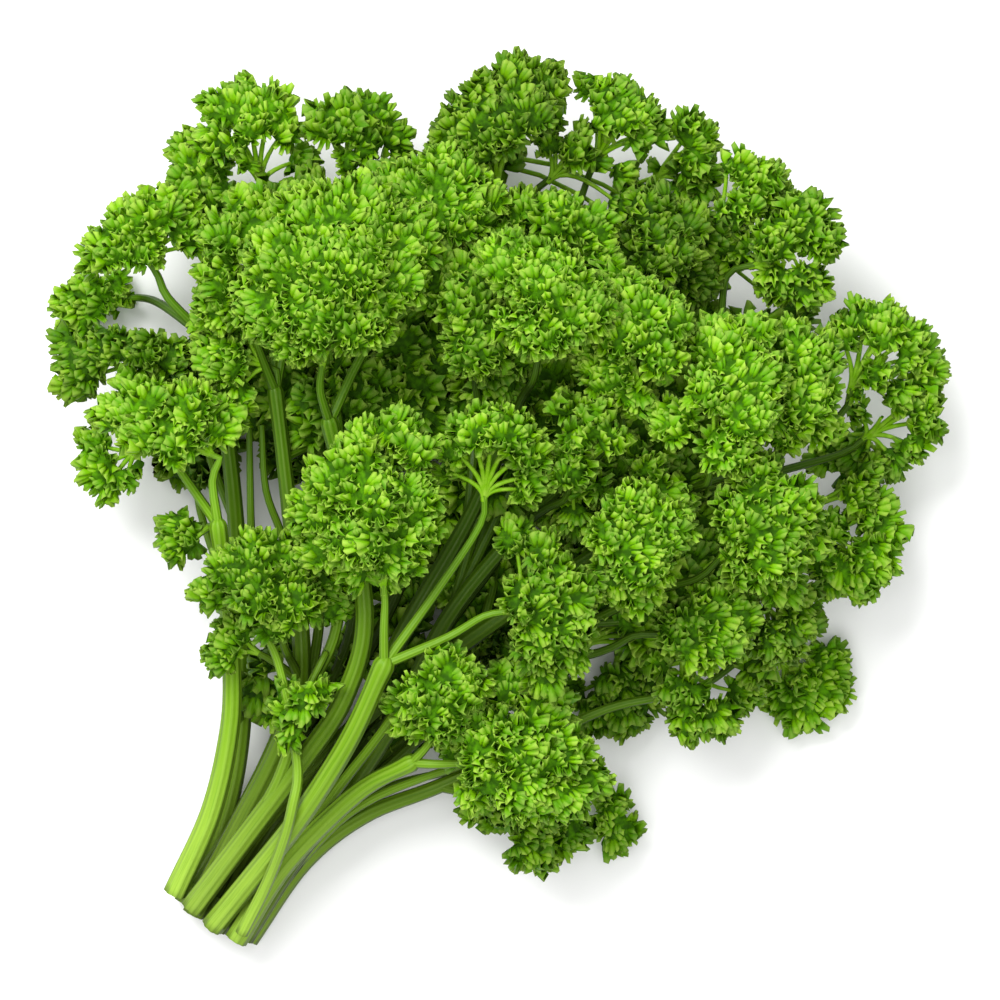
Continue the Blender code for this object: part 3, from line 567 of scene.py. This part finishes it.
def leaf_tone_group():
    """Leaf colour: deep in the head and at a blade's root it is darkened with painted shade, and at the
    teeth's tips it is lightened with painted light. Every blade and every head has its own tone, and a
    head's tone is partly painted shade."""
    tree, steps, given, result = new_tree(
        "leaf_tone", "ShaderNodeTree",
        {"Shade Along": 0.5, "Blade Tone": 0.5, "Head Tone And Shade": 0.5, "Cells": 0.5},
        {"Colour": "Color", "Roughness": "Float"})
    # Painted shade and light: the dark root colour stands for the shade among the blades, and the
    # paler, bluer tip colour for light on the teeth's tips.
    root = (0.034, 0.101, 0.0002, 1)
    middle = (0.109, 0.291, 0.001, 1)
    tip = (0.197, 0.344, 0.034, 1)
    mottle = steps.math("MULTIPLY", steps.math("SUBTRACT", given["Cells"], 0.45),
                        steps.ramp(given["Shade Along"], 0.0, 1.0, 1.3, 0.3))
    shade = steps.math("ADD", given["Shade Along"], mottle)
    body = steps.mix_colour(steps.ramp(shade, 0.0, 0.6), root, middle)
    edged = steps.mix_colour(steps.ramp(shade, 0.6, 1.0), body, tip)
    lift = steps.math("ADD", steps.math("MULTIPLY", given["Blade Tone"], 0.5),
                      steps.math("MULTIPLY", given["Head Tone And Shade"], 0.9))
    lift = steps.math("ADD", lift, steps.math("MULTIPLY", given["Cells"], 0.25))
    hue = steps.ramp(given["Blade Tone"], 0.0, 1.0, 0.508, 0.492)
    gloss = steps.math("ADD", steps.ramp(given["Cells"], 0.2, 0.8, 0.42, 0.58),
                       steps.ramp(given["Shade Along"], 0.0, 0.5, 0.4, 0.0))
    steps.feed(result, {"Colour": steps.toned(edged, steps.math("ADD", lift, 0.15), hue),
                        "Roughness": gloss})
    return tree


def leaf_material():
    material, steps, surface = new_material("curled_leaf")
    place = steps.add("ShaderNodeTexCoord")["Object"]
    tone = steps.add("ShaderNodeGroup",
                     {"Shade Along": steps.attribute("blade_along"),
                      "Blade Tone": steps.attribute("blade_tone"),
                      "Head Tone And Shade": steps.attribute("head_tone"),
                      "Cells": steps.noise(place, 620.0, 2.0)},
                     node_tree=leaf_tone_group())
    veins = steps.bump(steps.noise(place, 1500.0, 2.0), 0.35, 0.0002)
    steps.feed(surface, {"Base Color": tone["Colour"], "Roughness": tone["Roughness"],
                         "Normal": veins, "Specular IOR Level": 0.10})
    return material


def stem_streak_group():
    """Stem colour: pale at the cut end, greener further up, darkened down the sides with painted shade,
    with fine streaks along the stem. Its ridges are lighter, partly the stem's own paler ribs and
    partly painted highlight."""
    tree, steps, given, result = new_tree(
        "stem_streaks", "ShaderNodeTree",
        {"From Cut": 0.0, "Streaks": 0.5, "Mottle": 0.5, "Ridge": 0.5, "Tone": 1.0, "Side": 0.0},
        {"Colour": "Color", "Roughness": "Float", "Height": "Float"})
    pale = (0.300, 0.480, 0.050, 1)
    fresh = (0.165, 0.335, 0.009, 1)
    green = (0.100, 0.265, 0.002, 1)
    streak = (0.058, 0.190, 0.002, 1)
    # Lighter on the ridges: partly the stem's own paler ribs, partly painted highlight.
    ridge_pale_and_highlight = (0.310, 0.500, 0.065, 1)
    lower = steps.mix_colour(steps.ramp(given["From Cut"], 0.0, 0.055), pale, fresh)
    whole = steps.mix_colour(steps.ramp(given["From Cut"], 0.05, 0.12), lower, green)
    streaked = steps.mix_colour(steps.ramp(given["Streaks"], 0.45, 0.75, 0.0, 0.55), whole, streak)
    ridged = steps.mix_colour(steps.ramp(given["Ridge"], 0.3, 1.0, 0.0, 0.30), streaked, ridge_pale_and_highlight)
    # Painted shade: the colour is darkened where the stem's surface faces sideways.
    shade = steps.ramp(given["Side"], 0.15, 0.85, 1.0, 0.36)
    height = steps.math("ADD", steps.math("MULTIPLY", given["Streaks"], 0.6), given["Mottle"])
    # The stem's tone, low for the stems deep in the bunch, is partly painted shade.
    steps.feed(result, {"Colour": steps.toned(ridged, steps.math("MULTIPLY", shade, given["Tone"])),
                        "Roughness": steps.ramp(given["Mottle"], 0.3, 0.7, 0.30, 0.45),
                        "Height": height})
    return tree


def stem_material():
    material, steps, surface = new_material("fresh_stem")
    place = steps.add("ShaderNodeTexCoord")["Object"]
    along = steps.math("MULTIPLY", steps.attribute("stem_along"), 30.0)
    around = steps.scaled(steps.attribute("stem_round", "Vector"), 3.0)
    wrapped = steps.vector("ADD", around, steps.add("ShaderNodeCombineXYZ", {"Z": along})[0])
    finish = steps.add("ShaderNodeGroup",
                       {"From Cut": steps.attribute("from_cut"),
                        "Streaks": steps.noise(wrapped, 2.2, 4.0),
                        "Mottle": steps.noise(place, 700.0, 3.0),
                        "Ridge": steps.attribute("stem_ridge"), "Tone": steps.attribute("stem_tone"),
                        "Side": steps.attribute("stem_side")},
                       node_tree=stem_streak_group())
    steps.feed(surface, {"Base Color": finish["Colour"], "Roughness": finish["Roughness"],
                         "Normal": steps.bump(finish["Height"], 0.3, 0.0003),
                         "Specular IOR Level": 0.12})
    return material


# ---- Leaf heads -----------------------------------------------------------------------------------

# The blades of a leaf head: how many teeth each has, and the angle in radians that it spreads over.
BLADE_SHAPES = ((3, 1.3), (2, 0.8), (3, 1.6), (2, 1.0), (3, 1.1), (2, 0.7), (3, 1.4), (2, 0.9))
# Rows across a blade: the share of its length, and how far the blade has opened there.
BLADE_ROWS = [(0.0, 0.35), (0.60, 1.0), (1.0, 1.0)]
BLADE_THICKNESS = 0.06          # as a share of a blade's length
TOOTH_CORNERS = (0.27, 0.73)    # where a tooth's rounded end begins and ends across the tooth
NOTCH_REACH = 0.70              # how far out the notch between two teeth is, and how light its edge is: darker, as painted shade in the notch
NOTCH_LIGHT = 0.55


def leaf_blade(name, teeth, spread, seed):
    """One frilled blade, a unit long and growing along +Z: a ruffled fan whose ridges run out to the
    rounded teeth of its margin."""
    draw = random.Random(seed)
    body = bmesh.new()
    along = body.verts.layers.float.new("blade_along")
    curl = draw.uniform(0.10, 0.45)
    ruffle = draw.uniform(0.10, 0.19)
    marks = []
    for tooth in range(teeth):
        reach = 1 + draw.uniform(-0.10, 0.10)
        marks.append((tooth + draw.uniform(-0.06, 0.06), NOTCH_REACH, -ruffle, NOTCH_LIGHT))
        for corner in TOOTH_CORNERS:
            marks.append((tooth + corner, reach, ruffle * draw.uniform(0.6, 1.2), 1.0))
    marks.append((teeth, NOTCH_REACH, -ruffle, NOTCH_LIGHT))
    sides = []
    for side in (0.5, -0.5):
        rows = []
        for t, opened in BLADE_ROWS:
            row = []
            for across, reach, wave, light in marks:
                share = 2 * across / teeth - 1
                angle = share * spread / 2
                length = t * (1 - 0.2 * share * share) * (1 + (reach - 1) * t * t)
                lift = wave * t - curl * t * t + side * BLADE_THICKNESS * (1 - 0.3 * t)
                width = length * math.sin(angle) * opened + 0.10 * share * (1 - t)
                point = body.verts.new((width, lift, length * math.cos(angle)))
                # This value grows from the root to the tips and is lower at the notches; the colour
                # follows it as painted shade at roots and notches and painted light at the tips.
                point[along] = t * light
                row.append(point)
            rows.append(row)
        sides.append(rows)
    for rows in sides:
        for low, high in zip(rows, rows[1:]):
            for left in range(len(marks) - 1):
                body.faces.new((low[left], low[left + 1], high[left + 1], high[left]))
    front, back = [rows[0] + [rows[1][-1]] + rows[2][::-1] + [rows[1][0]] for rows in sides]
    for index in range(len(front)):
        after = (index + 1) % len(front)
        body.faces.new((front[index], front[after], back[after], back[index]))
    bmesh.ops.recalc_face_normals(body, faces=body.faces)
    mesh = finished_mesh(name, body)
    mesh.shade_smooth()
    return bpy.data.objects.new(name, mesh)


def blade_collection():
    """The different blades, hidden, for the leaf heads to draw from."""
    blades = bpy.data.collections.new("blades")
    for index, (teeth, spread) in enumerate(BLADE_SHAPES):
        blades.objects.link(leaf_blade(f"blade_{index}", teeth, spread, index))
    return blades


def curled_head_tree(blades):
    """Frilled blades over a leaf head's lobes, turned outwards from the head's core, and the ribs
    that run to the lobes from the head's base."""
    tree, steps, given, result = new_tree(
        "curled_head", "GeometryNodeTree",
        {"Lobes": "Geometry", "Ribs": "Object", "Core": "Vector", "Skin Cell": SKIN_CELL * MM,
         "Blade Spacing": BLADE_SPACING * MM, "Blade Length": BLADE_LENGTH * MM,
         "Blade Proud": BLADE_PROUD, "Head Tone And Shade": 0.5, "Lowest": SURFACE_CLEARANCE * MM, "Seed": 0,
         "Finish": "Material"},
        {"Leaf": "Geometry"})
    place = steps.add("GeometryNodeInputPosition")[0]
    volume = steps.add("GeometryNodeMeshToVolume",
                       {"Mesh": given["Lobes"], "Voxel Size": given["Skin Cell"], "Density": 1.0,
                        "Interior Band Width": SKIN_BAND * MM},
                       resolution_mode="VOXEL_SIZE")[0]
    skin = steps.add("GeometryNodeVolumeToMesh",
                     {"Volume": volume, "Threshold": 0.1, "Adaptivity": 0.0})[0]
    eased = steps.add("GeometryNodeBlurAttribute", {"Value": place, "Iterations": 3, "Weight": 1.0},
                      data_type="FLOAT_VECTOR")[0]
    skin = steps.moved(skin, eased)

    roots = steps.add("GeometryNodeDistributePointsOnFaces",
                      {"Mesh": skin, "Distance Min": given["Blade Spacing"],
                       "Density Max": BLADES_AT_MOST, "Density Factor": 1.0, "Seed": given["Seed"]},
                      distribute_method="POISSON")
    normal = roots["Normal"]
    from_core = steps.vector("NORMALIZE", steps.vector("SUBTRACT", place, given["Core"]))
    facing = steps.vector("DOT_PRODUCT", from_core, normal, output=1)
    along_skin = steps.vector("SUBTRACT", from_core, steps.scaled(normal, facing))
    spread = steps.scaled(steps.vector("NORMALIZE", along_skin), GROWTH_SPREAD)
    growth = steps.vector("ADD", steps.scaled(normal, GROWTH_OUT), spread)
    growth = steps.vector("ADD", growth, steps.random_vector(GROWTH_RANDOM, 11))
    growth = steps.vector("NORMALIZE", growth)
    aligned = steps.add("FunctionNodeAlignRotationToVector", {"Vector": growth}, axis="Z")[0]
    faced = steps.add("FunctionNodeAlignRotationToVector", {"Rotation": aligned, "Vector": normal},
                      axis="Y", pivot_axis="Z")[0]
    angle = steps.random_number(-BLADE_TURN, BLADE_TURN, 12)
    turn = steps.add("FunctionNodeAxisAngleToRotation", {"Axis": (0, 0, 1), "Angle": angle})[0]
    turned = steps.add("FunctionNodeRotateRotation", {"Rotation": faced, "Rotate By": turn},
                       rotation_space="LOCAL")[0]
    size = steps.math("MULTIPLY", given["Blade Length"], steps.random_number(*BLADE_SIZES, 13))
    sinking = steps.math("MULTIPLY", steps.math("SUBTRACT", given["Blade Proud"], 1.0),
                         given["Blade Length"])
    moves = tree.nodes.new("GeometryNodeCaptureAttribute")
    moves.domain = "POINT"
    moves.capture_items.new("VECTOR", "Sunk")
    steps.feed(moves.inputs, {"Geometry": roots["Points"], "Sunk": steps.scaled(growth, sinking)})
    source = steps.add("GeometryNodeCollectionInfo",
                       {"Collection": blades, "Separate Children": True, "Reset Children": True})[0]
    choice = steps.add("FunctionNodeRandomValue", {4: 0, 5: len(BLADE_SHAPES) - 1, 8: 14},
                       data_type="INT")[2]
    curls = steps.add("GeometryNodeInstanceOnPoints",
                      {"Points": moves.outputs["Geometry"], "Instance": source,
                       "Pick Instance": True, "Instance Index": choice, "Rotation": turned,
                       "Scale": size})[0]
    lowered = steps.add("GeometryNodeTranslateInstances",
                        {"Instances": curls, "Translation": moves.outputs["Sunk"],
                         "Local Space": False})[0]
    curls = steps.stored(lowered, "blade_tone", steps.random_number(0.0, 1.0, 15), domain="INSTANCE")

    outline = steps.add("GeometryNodeCurvePrimitiveCircle", {"Resolution": 6, "Radius": 1.0},
                        mode="RADIUS")["Curve"]
    rib_routes = steps.add("GeometryNodeObjectInfo", {"Object": given["Ribs"]})["Geometry"]
    ribs = steps.tube(rib_routes, outline)
    ribs = steps.stored(steps.smooth(ribs), "blade_tone", 1.0)
    ribs = steps.stored(ribs, "blade_along", RIB_SHADE)
    # The bare skin is coloured dark, as painted shade among the blades.
    skin = steps.stored(steps.smooth(skin), "blade_along", SKIN_SHADE)

    joined = tree.nodes.new("GeometryNodeJoinGeometry")
    for source in (curls, ribs, skin):
        tree.links.new(source, joined.inputs[0])
    whole = steps.add("GeometryNodeRealizeInstances", {"Geometry": joined.outputs[0]})[0]
    spot = steps.add("ShaderNodeSeparateXYZ", {0: place})
    height = steps.math("MAXIMUM", spot[2], given["Lowest"])
    lifted = steps.add("ShaderNodeCombineXYZ", {"X": spot[0], "Y": spot[1], "Z": height})[0]
    whole = steps.stored(steps.moved(whole, lifted), "head_tone", given["Head Tone And Shade"])
    steps.feed(result, {"Leaf": steps.finished(whole, given["Finish"])})
    return tree


def lobe_places(head):
    """The centre and the radius of each lobe of a head, in metres."""
    start, end = placed(head.base), placed(head.tip)
    middle = (start + end) / 2
    axis = (end - start).to_2d()
    half_span = max(head.width * MM, axis.length) / 2
    found = []
    for x, y, radius in head.lobes:
        spot = placed((x, y, 0))
        share = (spot - start).to_2d().dot(axis) / axis.length_squared
        level = start.z + (end.z - start.z) * min(max(share, 0), 1)
        off_middle = (spot - middle).to_2d().length / half_span
        level += head.depth * MM * DOME_RISE * (1 - DOME_FALL * min(off_middle, DOME_REACH) ** 2)
        lowest = (radius * LOBE_FLATNESS + SURFACE_CLEARANCE) * MM
        found.append((Vector((spot.x, spot.y, max(level, lowest))), radius * LOBE_FULLNESS * MM))
    return found


def lobe_ball(body, centre, radius, height, seed):
    """Adds one lumpy ball to the body."""
    made = bmesh.ops.create_icosphere(body, subdivisions=3, radius=1.0)
    for point in made["verts"]:
        x, y, z = point.co
        lumps = 1 + LOBE_LUMPS * noise.noise(point.co * 1.9 + Vector((seed * 7.3, 0, 0)))
        point.co = centre + Vector((x * radius, y * radius, z * height)) * lumps


def single_lobe(body, head, inset):
    """Adds the one lobe of a head that has no others, from its base to its tip."""
    start = placed(head.base)
    along = placed(head.tip) - start
    length = along.length - inset
    along.normalize()
    across = Vector((0, 0, 1)).cross(along).normalized()
    upward = along.cross(across)
    made = bmesh.ops.create_icosphere(body, subdivisions=4, radius=1.0)
    for point in made["verts"]:
        x, y, z = point.co
        lumps = 1 + HEAD_LUMPS * noise.noise(point.co * 2.1 + start * 50)
        point.co = (start + across * x * (head.width * MM / 2 - inset) * lumps
                    + upward * y * (head.depth * MM / 2 - inset) * lumps + along * (z + 1) * length / 2)


def lobes_body(head):
    """The lobes of a head, smaller by the inset of its skin."""
    inset = SKIN_INSET * MM
    body = bmesh.new()
    for index, (centre, radius) in enumerate(lobe_places(head)):
        core = max(radius - inset, radius * 0.5)
        lobe_ball(body, centre, core, max(radius * LOBE_FLATNESS - inset, core * 0.5), index)
    if not head.lobes:
        single_lobe(body, head, inset)
    return in_scene("lobes", finished_mesh("lobes", body))


def rib_lines(head):
    """The ribs of a head, curving from its base to each lobe."""
    curve = new_curve("ribs")
    start = placed(head.base)
    axis = (placed(head.tip) - start).normalized()
    ends = [centre for centre, _ in lobe_places(head)] or [placed(head.tip)]
    for end in ends:
        bend = start + axis * (end - start).length * 0.4
        route = []
        for step in range(RIB_POINTS):
            t = step / (RIB_POINTS - 1)
            route.append(start * (1 - t) ** 2 + bend * 2 * t * (1 - t) + end * t ** 2)
        add_route(curve, route, tapered(RIB_START, RIB_END, RIB_POINTS))
    return in_scene("ribs", curve)


def leaf_head(name, head, tone, seed, tree, finish):
    # The core that its blades turn away from is low in the head, a quarter of the way to the tip.
    core = placed(head.base) * 0.75 + placed(head.tip) * 0.25 - Vector((0, 0, head.depth * MM * 0.4))
    ribs = rib_lines(head)
    spacing, length = BLADE_SPACING, BLADE_LENGTH
    if name.startswith(("fill_", "leaf_under_")):
        spacing, length = FILL_BLADE_SPACING, FILL_BLADE_LENGTH
    values = {"Ribs": ribs, "Core": core, "Skin Cell": SKIN_CELL * MM, "Blade Spacing": spacing * MM,
              "Blade Length": length * MM, "Blade Proud": BLADE_PROUD, "Head Tone And Shade": tone,
              "Lowest": SURFACE_CLEARANCE * MM, "Seed": seed, "Finish": finish}
    piece = grown(lobes_body(head), tree, values, name + "_curls")
    bpy.data.objects.remove(ribs, do_unlink=True)
    return piece


# ---- Stalks ---------------------------------------------------------------------------------------


def stem_profile():
    """The ribbed outline of a stem, of radius 1, as a closed curve."""
    corners = STEM_RIBS * 4
    curve = new_curve("stem_profile")
    spline = curve.splines.new("POLY")
    spline.use_cyclic_u = True
    spline.points.add(corners - 1)
    for index, point in enumerate(spline.points):
        angle = 2 * math.pi * index / corners
        radius = 1 - STEM_GROOVE * (0.5 - 0.5 * math.cos(STEM_RIBS * angle)) ** 1.5
        point.co = (radius * math.cos(angle), radius * math.sin(angle), 0, 1)
    return bpy.data.objects.new("stem_profile", curve)


def ribbed_stem_tree(profile):
    """Ribbed stems along curves, with where each point lies along and round its stem."""
    tree, steps, given, result = new_tree(
        "ribbed_stem", "GeometryNodeTree",
        {"Routes": "Geometry", "Cut End": -0.1, "Tone": 1.0, "Finish": "Material"},
        {"Stem": "Geometry"})
    place = steps.add("GeometryNodeInputPosition")[0]
    length = steps.add("GeometryNodeSplineParameter")["Length"]
    routes = steps.stored(given["Routes"], "stem_along", length)
    outline = steps.add("GeometryNodeObjectInfo", {"Object": profile})["Geometry"]
    outline = steps.stored(outline, "stem_round", place, data_type="FLOAT_VECTOR")
    reach = steps.vector("LENGTH", place, output="Value")
    outline = steps.stored(outline, "stem_ridge", steps.ramp(reach, 0.91, 1.0))
    spot = steps.add("ShaderNodeSeparateXYZ", {0: place})
    stem = steps.tube(routes, outline)
    stem = steps.stored(stem, "from_cut", steps.math("SUBTRACT", spot[0], given["Cut End"]))
    # How far the surface faces sideways, stored for the painted shade down the stem's sides.
    normal = steps.add("ShaderNodeSeparateXYZ", {0: steps.add("GeometryNodeInputNormal")[0]})
    side = steps.math("SUBTRACT", 1.0, steps.math("ABSOLUTE", normal[2]))
    stem = steps.stored(stem, "stem_side", side)
    stem = steps.smooth(steps.stored(stem, "stem_tone", given["Tone"]))
    steps.feed(result, {"Stem": steps.finished(stem, given["Finish"])})
    return tree


def tapered(start, end, count):
    """The radii of a stem at so many points, from its diameters at its two ends."""
    return [(start + (end - start) * index / (count - 1)) / 2 for index in range(count)]


def add_route(curve, route, radii):
    spline = curve.splines.new("POLY")
    spline.points.add(len(route) - 1)
    for point, place, radius in zip(spline.points, route, radii):
        point.co = (*place, 1.0)
        point.radius = radius * MM


def add_side_stem(curve, start, head):
    """Adds the side stem that runs from its start on a stalk into a leaf head."""
    axis = (placed(head.tip) - placed(head.base)).normalized()
    through = [placed(point) for point in (start, *head.passes)]
    end = placed(head.base) + axis * SIDE_STEM_DEPTH * MM
    approach = end - axis * min(SIDE_STEM_APPROACH * MM, (end - through[-1]).length * 0.4)
    side = smooth_route([*through, approach, end])
    add_route(curve, side, tapered(SIDE_STEM_START, SIDE_STEM_END, len(side)))


def stalk_routes(name, cut_diameter, fork_diameter, points):
    """A stalk's stem from the cut to its fork, and its side stems into their leaf heads."""
    curve = new_curve(name)
    route = smooth_route([placed(point) for point in points])
    last = len(route) - 1
    radii = []
    for index, radius in enumerate(tapered(cut_diameter, fork_diameter, len(route))):
        swelling = FORK_SWELLING * math.exp(-((index / last - 1) / FORK_LENGTH) ** 2)
        radii.append(radius * (1 + swelling))
    direction = (route[-1] - route[-2]).normalized()
    for step, share in FORK_END:
        route.append(route[last] + direction * fork_diameter * step * MM)
        radii.append(radii[last] * share)
    add_route(curve, route, radii)
    for head in [*LEAF_HEADS.values(), *LEAFLETS.values(), *SPRAYS.values()]:
        if head.stalk == name:
            add_side_stem(curve, points[head.start], head)
    return in_scene(name + "_routes", curve)


def thin_stem_route(name, start_diameter, end_diameter, points):
    curve = new_curve(name)
    route = smooth_route([placed(point) for point in points])
    add_route(curve, route, tapered(start_diameter, end_diameter, len(route)))
    return in_scene(name + "_route", curve)


# ---- Surroundings ---------------------------------------------------------------------------------

VIEW_WIDTH = 0.220              # metres across the picture at the bunch's middle height
VIEW_HEIGHT = 3.0
VIEW_MIDDLE = (0.0097, -0.0108)
VIEW_LEVEL = 0.045
VIEW_TURN = math.radians(-60)
SENSOR_WIDTH = 36.0


def add_camera():
    """Looks straight down, turned so that the cut ends are low on the left."""
    camera = bpy.data.cameras.new("camera")
    camera.sensor_width = SENSOR_WIDTH
    camera.lens = SENSOR_WIDTH * (VIEW_HEIGHT - VIEW_LEVEL) / VIEW_WIDTH
    camera.clip_end = 20.0
    viewer = in_scene("camera", camera)
    place = Matrix.Translation((*VIEW_MIDDLE, VIEW_HEIGHT))
    viewer.matrix_world = place @ Matrix.Rotation(VIEW_TURN, 4, "Z")
    bpy.context.scene.camera = viewer


def add_light(name, place, size, power):
    light = bpy.data.lights.new(name, "AREA")
    light.shape = "DISK"
    light.size = size
    light.energy = power
    away = Vector(place)
    facing = away.to_track_quat("Z", "Y").to_matrix().to_4x4()
    in_scene(name, light).matrix_world = Matrix.Translation(away) @ facing


def add_floor():
    bpy.ops.mesh.primitive_plane_add(size=6.0, location=(0, 0, 0))
    floor = bpy.context.object
    floor.name = "floor"
    material, steps, surface = new_material("pale_floor")
    steps.feed(surface, {"Base Color": (0.86, 0.86, 0.86, 1), "Roughness": 0.7})
    floor.data.materials.append(material)


def add_surroundings():
    add_camera()
    add_floor()
    add_light("key", (0.45, 0.9, 1.5), 1.1, 36.0)
    add_light("overhead", (-0.3, -0.2, 1.8), 1.6, 18.0)
    world = bpy.data.worlds.new("studio")
    world.use_nodes = True
    studio = world.node_tree
    Steps(studio).feed(studio.nodes["Background"].inputs, {"Color": (1, 1, 1, 1), "Strength": 0.70})
    bpy.context.scene.world = world
    bpy.context.scene.view_settings.view_transform = "Standard"


# ---- The bunch ------------------------------------------------------------------------------------


def settle(piece, node_slot, *nodes):
    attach(piece, "root")
    if nodes:
        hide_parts(*nodes)


def main():
    add_surroundings()
    leaf_finish = leaf_material()
    stem_finish = stem_material()
    blades = blade_collection()
    head_tree = curled_head_tree(blades)
    profile = stem_profile()
    stem_tree = ribbed_stem_tree(profile)
    for name, (tone, *stem) in {**STALKS, **THIN_STEMS}.items():
        values = {"Cut End": cad_box[0][0], "Tone": tone, "Finish": stem_finish}
        if name in STALKS:
            piece = grown(stalk_routes(name, *stem), stem_tree, values, name + "_stems")
            settle(piece, "stalk", name)
        else:
            piece = grown(thin_stem_route(name, *stem), stem_tree, values, name)
            settle(piece, "stalk")
    draw = random.Random(5)
    heads = {**LEAF_HEADS, **SPRAYS, **LEAFLETS}
    for seed, (name, head) in enumerate(heads.items()):
        drawn_tone = draw.uniform(*DRAWN_TONES)
        tone = drawn_tone if head.tone is None else head.tone
        piece = leaf_head(name, head, tone, seed, head_tree, leaf_finish)
        settle(piece, "leaf", *([name] if name in LEAF_HEADS else []))
    for blade in list(blades.objects):
        bpy.data.objects.remove(blade, do_unlink=True)
    bpy.data.collections.remove(blades)
    bpy.data.objects.remove(profile, do_unlink=True)


main()
